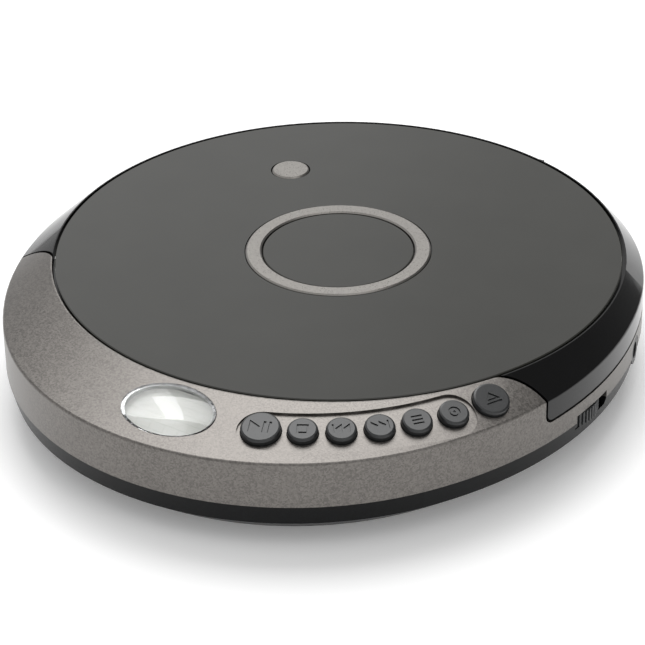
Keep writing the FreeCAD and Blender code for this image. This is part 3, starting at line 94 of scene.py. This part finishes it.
def linear(code):
    """Linear RGBA of an sRGB hex colour."""
    parts = [int(code[i:i + 2], 16) / 255 for i in (1, 3, 5)]
    return [c / 12.92 if c <= 0.04045 else ((c + 0.055) / 1.055) ** 2.4 for c in parts] + [1.0]


def add(tree, kind, put=None, **settings):
    """Adds a shader node. settings are its properties; put gives its inputs values or links."""
    node = tree.nodes.new("ShaderNode" + kind)
    for name, setting in settings.items():
        setattr(node, name, setting)
    for socket, given in (put or {}).items():
        if isinstance(given, bpy.types.NodeSocket):
            tree.links.new(given, node.inputs[socket])
        else:
            node.inputs[socket].default_value = given
    return node


def new_material(name, **shader):
    """An empty node material with one Principled shader, whose sockets take the given values."""
    material = bpy.data.materials.new(name)
    material.use_nodes = True
    tree = material.node_tree
    tree.nodes.clear()
    put = {socket.replace("_", " "): given for socket, given in shader.items()}
    surface = add(tree, "BsdfPrincipled", put)
    add(tree, "OutputMaterial", {"Surface": surface.outputs["BSDF"]})
    return material, tree, surface


def dress(material, *names):
    """Gives CAD nodes a material."""
    for name in names:
        slots = nodes[name].data.materials
        slots.clear()
        slots.append(material)


floor_span = 6.0
floor_mesh = bpy.data.meshes.new("floor")
floor_mesh.from_pydata([(-floor_span, -floor_span, 0), (floor_span, -floor_span, 0),
                        (floor_span, floor_span, 0), (-floor_span, floor_span, 0)], [],
                       [(0, 1, 2, 3)])
floor = bpy.data.objects.new("floor", floor_mesh)
bpy.context.scene.collection.objects.link(floor)
floor.location.z = cad_low.z - 0.01 * MM
# The card glows a little, as translucent card lit from below does, so the shadow stays pale.
card = new_material("white_card", Base_Color=linear("#ffffff"), Roughness=0.9,
                    Specular_IOR_Level=0.1, Emission_Color=linear("#ffffff"),
                    Emission_Strength=0.14)[0]
floor_mesh.materials.append(card)

room = bpy.data.worlds.new("pale_room")
bpy.context.scene.world = room
room.use_nodes = True
room_tree = room.node_tree
room_tree.nodes.clear()
seen_way = add(room_tree, "TexCoord").outputs["Generated"]
rear_right = (0.46, 0.76, 0.46)
dark_side = add(room_tree, "VectorMath", {0: seen_way, 1: rear_right},
                operation="DOT_PRODUCT").outputs["Value"]
nearness = add(room_tree, "MapRange", {"Value": dark_side, "From Min": -1.0, "From Max": 1.0})
shades = add(room_tree, "ValToRGB", {"Fac": nearness.outputs["Result"]})
ramp = shades.color_ramp
ramp.interpolation = "EASE"
ramp.elements[0].position, ramp.elements[0].color = 0.58, (0.62, 0.62, 0.62, 1)
ramp.elements[1].position, ramp.elements[1].color = 0.94, (0.18, 0.18, 0.18, 1)
for place, grey in ((0.75, 0.97), (0.79, 0.88), (0.83, 0.66)):
    ramp.elements.new(place).color = (grey, grey, grey, 1)
sky = add(room_tree, "Background", {"Color": shades.outputs["Color"], "Strength": 1.12})
add(room_tree, "OutputWorld", {"Surface": sky.outputs["Background"]})

softbox_data = bpy.data.lights.new("softbox_top", "AREA")
softbox_data.shape = "RECTANGLE"
softbox_data.size = 1.1
softbox_data.size_y = 1.0
softbox_data.energy = 13.0
softbox = bpy.data.objects.new("softbox_top", softbox_data)
softbox_side = Vector((-0.22, 0.42, 0.88)).normalized()
softbox_distance = 1.5
softbox.location = softbox_side * softbox_distance
softbox.rotation_mode = "QUATERNION"
softbox.rotation_quaternion = (-softbox_side).to_track_quat("-Z", "Y")
bpy.context.scene.collection.objects.link(softbox)

# ------------------------------------------------------------------ bottom case and battery door
# Two ABS mouldings, black right through, from a spark-eroded mould: a satin skin with a fine even
# grain. Everything else is screwed or clipped into the case, and the door swings under it.


def moulded(name, deep, high, grain, relief, roughness, **shader):
    """A moulded or cast surface. One noise, with grains of the given width, mixes the two colours,
    shifts the roughness by a tenth and raises the grain by relief. Both lengths in millimetres."""
    material, tree, surface = new_material(name, **shader)
    where = add(tree, "TexCoord").outputs["Object"]
    noise = add(tree, "TexNoise", {"Vector": where, "Scale": 1 / (grain * MM), "Detail": 3.0,
                                   "Roughness": 0.6}).outputs["Fac"]
    colours = add(tree, "ValToRGB", {"Fac": noise})
    colours.color_ramp.elements[0].position = 0.32
    colours.color_ramp.elements[1].position = 0.68
    colours.color_ramp.elements[0].color = linear(deep)
    colours.color_ramp.elements[1].color = linear(high)
    tree.links.new(colours.outputs["Color"], surface.inputs["Base Color"])
    matt = add(tree, "MapRange", {"Value": noise, "From Min": 0.3, "From Max": 0.7,
                                  "To Min": roughness * 0.9, "To Max": roughness * 1.1})
    tree.links.new(matt.outputs["Result"], surface.inputs["Roughness"])
    raised = add(tree, "Bump", {"Height": noise, "Distance": relief * MM, "Strength": 0.6})
    tree.links.new(raised.outputs["Normal"], surface.inputs["Normal"])
    return material


# Grain 0.5 mm, drawn coarser than the mould's 0.1 mm so that it shows.
case_abs = moulded("spark_textured_black_abs", "#080809", "#111213", 0.5, 0.006, 0.34,
                   Specular_IOR_Level=0.14)
dress(case_abs, "bottom_case", "battery_door")

# ------------------------------------------------------------------ rubber feet and dampers
# Soft black rubber: four feet stuck to the underside, four grommets that carry the mechanism
# and the ring on the turntable. Matt, a little dusty on the raised grain.
rubber = moulded("moulded_rubber", "#121212", "#2b2a29", 0.35, 0.012, 0.82, Specular_IOR_Level=0.3)
dress(rubber, "rubber_feet", "mech_dampers", "turntable_pad")

# ------------------------------------------------------------------ screws, pins, rods and posts
# Plated steel turned or drawn in bar: the screws are zinc plated, and the rods, pins, post and
# shaft are ground, which leaves faint marks round or along them.


def drawn_metal(name, deep, high, spacing, stretch, roughness):
    """A ground or drawn metal. Noise squeezed along one axis gives marks a given spacing apart in
    millimetres, which vary the colour, the roughness and a slight relief."""
    material, tree, surface = new_material(name, Metallic=1.0)
    where = add(tree, "TexCoord").outputs["Object"]
    squeezed = add(tree, "Mapping", {"Vector": where, "Scale": stretch}).outputs["Vector"]
    marks = add(tree, "TexNoise", {"Vector": squeezed, "Scale": 1 / (spacing * MM),
                                   "Detail": 4.0}).outputs["Fac"]
    colours = add(tree, "ValToRGB", {"Fac": marks})
    colours.color_ramp.elements[0].position = 0.3
    colours.color_ramp.elements[1].position = 0.7
    colours.color_ramp.elements[0].color = linear(deep)
    colours.color_ramp.elements[1].color = linear(high)
    tree.links.new(colours.outputs["Color"], surface.inputs["Base Color"])
    matt = add(tree, "MapRange", {"Value": marks, "To Min": roughness * 0.7, "To Max": roughness * 1.3})
    tree.links.new(matt.outputs["Result"], surface.inputs["Roughness"])
    scratched = add(tree, "Bump", {"Height": marks, "Distance": 0.004 * MM, "Strength": 0.5})
    tree.links.new(scratched.outputs["Normal"], surface.inputs["Normal"])
    return material


dress(drawn_metal("zinc_plated_steel", "#8f9297", "#c2c4c4", 0.4, (1, 1, 0.2), 0.34), "case_screws")
dress(drawn_metal("ground_steel_rod", "#b3b5b8", "#dcdddd", 0.25, (1, 0.03, 1), 0.16), "guide_rods")
dress(drawn_metal("ground_steel_pin", "#a9abae", "#d4d5d5", 0.2, (0.05, 1, 1), 0.2), "hinge_pins")
dress(drawn_metal("turned_steel", "#a5a7aa", "#d0d1d1", 0.2, (0.2, 0.2, 1), 0.22),
      "gear_post", "spindle_shaft")
dress(drawn_metal("polished_ball_steel", "#c4c6c8", "#e6e6e6", 0.8, (1, 1, 1), 0.08),
      "hub_ball_1", "hub_ball_2", "hub_ball_3")

# ------------------------------------------------------------------ battery contacts
# Spring steel, nickel plated: a slightly yellow bright metal with a soft mottle from the bath.
# The springs and plates slide into the end walls of the bay.
nickel = drawn_metal("nickel_plated_spring_steel", "#a8a49a", "#d9d5cb", 0.9, (1, 1, 1), 0.2)
dress(nickel, "battery_springs", "battery_plates")

# ------------------------------------------------------------------ mechanism chassis and motors
# Galvanised sheet pressed to shape, so it shows large pale crystals; the motor cans are drawn
# from the same sheet and are plainer. Both hang on the rubber grommets.
chassis_zinc, zinc_tree, zinc_surface = new_material("galvanised_sheet", Metallic=1.0)
crystals = add(zinc_tree, "TexVoronoi", {"Vector": add(zinc_tree, "TexCoord").outputs["Object"],
                                         "Scale": 1 / (3.5 * MM)})
crystal_grey = add(zinc_tree, "SeparateColor", {"Color": crystals.outputs["Color"]}).outputs["Red"]
crystal_colours = add(zinc_tree, "ValToRGB", {"Fac": crystal_grey})
crystal_colours.color_ramp.elements[0].color = linear("#8b8f93")
crystal_colours.color_ramp.elements[1].color = linear("#b9bcbd")
zinc_tree.links.new(crystal_colours.outputs["Color"], zinc_surface.inputs["Base Color"])
crystal_gloss = add(zinc_tree, "MapRange", {"Value": crystal_grey, "To Min": 0.28, "To Max": 0.42})
zinc_tree.links.new(crystal_gloss.outputs["Result"], zinc_surface.inputs["Roughness"])
dress(chassis_zinc, "mech_chassis")
dress(drawn_metal("drawn_motor_can", "#96999c", "#b8babc", 0.5, (1, 1, 0.1), 0.3),
      "spindle_motor", "sled_motor")

# ------------------------------------------------------------------ turntable and hub
# Black acetal, moulded with a fine even grain and pressed on the shaft. The hub holds three
# sprung steel balls, and the rubber ring on the flange keeps the disc from slipping.
dress(moulded("black_acetal", "#18191a", "#242527", 0.6, 0.003, 0.3), "turntable", "centring_hub")

# ------------------------------------------------------------------ pickup, rack and gears
# The sled is glass-filled polymer, dark grey with pale flecks; rack, gears and pinion are white
# acetal, waxy and slightly see-through, pressed or snapped on.
dress(moulded("glass_filled_polymer", "#2a2b2d", "#4a4b4d", 0.3, 0.01, 0.55), "pickup_body")
acetal = moulded("natural_acetal", "#dedbd1", "#efede6", 1.2, 0.002, 0.36,
                 Subsurface_Weight=0.15, Subsurface_Scale=1.0 * MM)
dress(acetal, "sled_rack", "double_gear", "motor_pinion")

# ------------------------------------------------------------------ pickup lens and its holder
# A moulded acrylic lens with a blue-violet coating that mirrors strongly, glued in a holder of
# black liquid-crystal polymer, which hangs on four thin wires.
dress(moulded("liquid_crystal_polymer", "#101011", "#1d1d1f", 0.25, 0.004, 0.5), "lens_holder")
coated, coated_tree, coated_surface = new_material(
    "coated_acrylic", Base_Color=linear("#9fb4ee"), IOR=1.49, Transmission_Weight=0.7,
    Coat_Weight=1.0, Coat_Roughness=0.02)
bloom = add(coated_tree, "TexNoise", {"Vector": add(coated_tree, "TexCoord").outputs["Object"],
                                      "Scale": 1 / (1.5 * MM)}).outputs["Fac"]
haze = add(coated_tree, "MapRange", {"Value": bloom, "To Min": 0.01, "To Max": 0.06}).outputs["Result"]
coated_tree.links.new(haze, coated_surface.inputs["Roughness"])
dress(coated, "pickup_lens")

# ------------------------------------------------------------------ circuit boards
# Glass-epoxy board under green solder mask. Copper tracks show as paler lines where the mask
# rides over them. The boards are screwed to posts on the case.
solder_mask, mask_tree, mask_surface = new_material("green_solder_mask", Roughness=0.32, IOR=1.5)
board_place = add(mask_tree, "TexCoord").outputs["Object"]
tracks = add(mask_tree, "TexVoronoi", {"Vector": board_place, "Scale": 1 / (2.4 * MM)},
             feature="DISTANCE_TO_EDGE").outputs["Distance"]
track_edge = add(mask_tree, "ValToRGB", {"Fac": tracks})
track_edge.color_ramp.elements[0].position = 0.07
track_edge.color_ramp.elements[1].position = 0.11
track_edge.color_ramp.elements[0].color = linear("#3c8a55")
track_edge.color_ramp.elements[1].color = linear("#1b5b34")
mask_tree.links.new(track_edge.outputs["Color"], mask_surface.inputs["Base Color"])
track_relief = add(mask_tree, "Bump", {"Height": tracks, "Distance": -0.03 * MM, "Strength": 0.4})
mask_tree.links.new(track_relief.outputs["Normal"], mask_surface.inputs["Normal"])
dress(solder_mask, "main_board", "key_board")
dress(moulded("chip_epoxy", "#161617", "#2c2c2e", 0.2, 0.006, 0.6), "board_parts")
dress(moulded("switch_nylon", "#222325", "#343538", 0.4, 0.003, 0.45), "key_switches",
      "volume_control")

# ------------------------------------------------------------------ sockets
# Glass-filled nylon blocks soldered to the main board, their rings flush in the side wall.
# The headphone socket has a springy nickel-plated contact sleeve a little way down its bore.
socket_nylon = moulded("black_socket_nylon", "#0e0e0f", "#1b1b1d", 0.3, 0.004, 0.4)
dress(socket_nylon, "headphone_socket", "power_socket")

socket_mount = [mount for mount in frame["record"]["mounts"] if mount["name"] == "headphone_socket"][0]
socket_axis = np.array(socket_mount["axis"], float)
socket_middle = np.array(socket_mount["pos_m"], float)


def contact_sleeve(middle, axis, bore, inside, length, rings=24, around=64):
    """A short rounded ring about axis. Its section is an ellipse, as long as the sleeve and as
    thick as the step from the bore to the inside, and that is swept through a full turn."""
    across = np.cross(axis, (0.0, 0.0, 1.0))
    across /= np.linalg.norm(across)
    up = np.cross(across, axis)
    share = np.linspace(0, 1, rings, endpoint=False)
    radius = (bore + inside) / 2 + (bore - inside) / 2 * np.cos(2 * np.pi * share)
    along = length / 2 * np.sin(2 * np.pi * share)
    turn = np.linspace(0, 2 * np.pi, around, endpoint=False)
    ring = np.cos(turn)[:, None] * across + np.sin(turn)[:, None] * up
    points = (middle + axis * along[:, None, None] + ring[None] * radius[:, None, None]).reshape(-1, 3)
    i, j = np.meshgrid(np.arange(rings), np.arange(around), indexing="ij")
    after_i, after_j = (i + 1) % rings, (j + 1) % around
    faces = np.stack([i * around + j, after_i * around + j, after_i * around + after_j,
                      i * around + after_j], -1).reshape(-1, 4)
    mesh = bpy.data.meshes.new("socket_contact_sleeve")
    mesh.from_pydata(points.tolist(), [], faces.tolist())
    mesh.shade_smooth()
    return mesh


sleeve_shift = 3.2 * MM
sleeve_mesh = contact_sleeve(socket_middle + socket_axis * sleeve_shift, socket_axis, bore=1.78 * MM,
                             inside=1.5 * MM, length=1.8 * MM)
sleeve = bpy.data.objects.new("socket_contact_sleeve", sleeve_mesh)
bpy.context.scene.collection.objects.link(sleeve)
sleeve_mesh.materials.append(nickel)
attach(sleeve, "cabinet")

# ------------------------------------------------------------------ volume wheel
# A black ABS thumbwheel with moulded ribs, pushed on the volume control's spindle. Its skin is
# satin, a little smoother than the case.
dress(moulded("thumbwheel_abs", "#1b1c1d", "#2e2f30", 0.45, 0.004, 0.38), "volume_wheel")

# ------------------------------------------------------------------ upper cabinet
# ABS sprayed with pewter metallic paint: aluminium flakes lying nearly flat in a warm grey
# lacquer, so it is silvery where it faces the light and dark on the steep side wall.
pewter, pewter_tree, pewter_surface = new_material("pewter_metallic_paint", Metallic=0.88,
                                                   Coat_Weight=0.12, Coat_Roughness=0.3)
painted = add(pewter_tree, "TexCoord").outputs["Object"]
# Flakes 0.32 mm across, drawn about ten times coarser than real ones so that they show.
flakes = add(pewter_tree, "TexVoronoi", {"Vector": painted, "Scale": 1 / (0.32 * MM)})
flake = add(pewter_tree, "SeparateColor", {"Color": flakes.outputs["Color"]}).outputs["Red"]
cloud = add(pewter_tree, "TexNoise", {"Vector": painted, "Scale": 1 / (9.0 * MM)}).outputs["Fac"]
mixed = add(pewter_tree, "Math", {0: cloud, 1: 0.3, 2: flake},
            operation="MULTIPLY_ADD").outputs["Value"]
sparkle = add(pewter_tree, "MapRange", {"Value": mixed, "From Min": 0.05, "From Max": 1.25})
silver = add(pewter_tree, "ValToRGB", {"Fac": sparkle.outputs["Result"]})
silver.color_ramp.elements[0].color = linear("#5e5b58")
silver.color_ramp.elements[1].color = linear("#7f7b77")
pewter_tree.links.new(silver.outputs["Color"], pewter_surface.inputs["Base Color"])
flake_gloss = add(pewter_tree, "MapRange", {"Value": flake, "To Min": 0.32, "To Max": 0.44})
pewter_tree.links.new(flake_gloss.outputs["Result"], pewter_surface.inputs["Roughness"])
flake_tilt = add(pewter_tree, "Bump", {"Height": flake, "Distance": 0.006 * MM, "Strength": 0.35})
pewter_tree.links.new(flake_tilt.outputs["Normal"], pewter_surface.inputs["Normal"])
dress(pewter, "upper_cabinet")

# ------------------------------------------------------------------ disc deck and lid catch
# The deck is black high-impact styrene, satin with a coarser grain than the case, dropped into
# the well. The catch is black acetal, smooth so that it slides.
deck_plastic = moulded("satin_black_styrene", "#191a1b", "#2b2c2e", 0.7, 0.008, 0.5)
dress(deck_plastic, "disc_deck")
dress(moulded("catch_acetal", "#1f2022", "#2c2d2f", 0.5, 0.002, 0.34), "lid_latch")

# ------------------------------------------------------------------ buttons
# Hard ABS caps with a soft-touch black lacquer and engraved symbols. The lacquer is satin, with
# a faint shine round the worn edge of each cap.
soft_touch = moulded("soft_touch_black_lacquer", "#161718", "#232526", 0.3, 0.004, 0.36,
                     Coat_Weight=0.15, Coat_Roughness=0.2)
dress(soft_touch, *[name for name in nodes if name.endswith("_button")])

# ------------------------------------------------------------------ display
# A pale liquid-crystal cell in a bright plated frame, under a domed acrylic window that is
# pushed in from outside. The unlit cell is nearly white, with a faint grid of clear electrodes.
cell_glass, cell_tree, cell_surface = new_material("liquid_crystal_cell", IOR=1.5, Roughness=0.25)
cell_place = add(cell_tree, "TexCoord").outputs["Object"]
electrodes = add(cell_tree, "TexBrick", {"Vector": cell_place, "Scale": 1 / (6.0 * MM),
                                         "Mortar Size": 0.012, "Color1": linear("#e2e4de"),
                                         "Color2": linear("#dfe1da"), "Mortar": linear("#d2d6cd")})
cell_tree.links.new(electrodes.outputs["Color"], cell_surface.inputs["Base Color"])
dress(cell_glass, "display_glass")
plated, plated_tree, plated_surface = new_material("chromium_plated_abs", Metallic=1.0)
plating = add(plated_tree, "TexNoise", {"Vector": add(plated_tree, "TexCoord").outputs["Object"],
                                        "Scale": 1 / (2.0 * MM)}).outputs["Fac"]
plated_colour = add(plated_tree, "ValToRGB", {"Fac": plating})
plated_colour.color_ramp.elements[0].color = linear("#b9bbbd")
plated_colour.color_ramp.elements[1].color = linear("#dfe0e1")
plated_tree.links.new(plated_colour.outputs["Color"], plated_surface.inputs["Base Color"])
plated_haze = add(plated_tree, "MapRange", {"Value": plating, "To Min": 0.1, "To Max": 0.2})
plated_tree.links.new(plated_haze.outputs["Result"], plated_surface.inputs["Roughness"])
dress(plated, "display_surround")
window, window_tree, window_surface = new_material("clear_acrylic", Base_Color=linear("#ffffff"),
                                                   IOR=1.49, Transmission_Weight=1.0)
smear = add(window_tree, "TexNoise", {"Vector": add(window_tree, "TexCoord").outputs["Object"],
                                      "Scale": 1 / (5.0 * MM)}).outputs["Fac"]
smear_haze = add(window_tree, "MapRange", {"Value": smear, "To Min": 0.0, "To Max": 0.05})
window_tree.links.new(smear_haze.outputs["Result"], window_surface.inputs["Roughness"])
dress(window, "display_lens")

# ------------------------------------------------------------------ lid shell
# Black ABS from a polished mould, like piano lacquer: deep black with sharp reflections and a
# very slight waviness from shrinkage. It turns on two steel pins at the rear.


def polished(name, deep, high, roughness, **shader):
    """A polished moulding. A slow noise, a centimetre across, shifts the colour a little and
    bends the reflections by a wave of two hundredths of a millimetre."""
    material, tree, surface = new_material(name, **shader)
    where = add(tree, "TexCoord").outputs["Object"]
    wave = add(tree, "TexNoise", {"Vector": where, "Scale": 1 / (10.0 * MM), "Detail": 1.0}).outputs["Fac"]
    colours = add(tree, "ValToRGB", {"Fac": wave})
    colours.color_ramp.elements[0].color = linear(deep)
    colours.color_ramp.elements[1].color = linear(high)
    tree.links.new(colours.outputs["Color"], surface.inputs["Base Color"])
    polish = add(tree, "MapRange", {"Value": wave, "To Min": roughness * 0.7, "To Max": roughness * 1.4})
    tree.links.new(polish.outputs["Result"], surface.inputs["Roughness"])
    bent = add(tree, "Bump", {"Height": wave, "Distance": 0.02 * MM, "Strength": 0.3})
    tree.links.new(bent.outputs["Normal"], surface.inputs["Normal"])
    return material


dress(polished("piano_gloss_black_abs", "#050505", "#0a0a0b", 0.09, IOR=1.5,
               Specular_IOR_Level=0.36), "lid_shell")

# ------------------------------------------------------------------ lid panel and centre disc
# Cast acrylic sheet, tinted dark smoke grey and stuck on the lid's plate: flat and glossy, with
# a faintly warm cast.
smoke = polished("smoked_acrylic_sheet", "#2b2b27", "#31312d", 0.05, IOR=1.49)
dress(smoke, "lid_panel", "lid_centre_disc")

# ------------------------------------------------------------------ trim ring and badge
# Aluminium, turned with a bevelled edge and satin anodised, stuck into the panel's openings.
# The badge carries no mark.
dress(drawn_metal("satin_anodised_aluminium", "#868380", "#989590", 0.3, (1, 1, 1), 0.3),
      "lid_ring", "lid_badge")
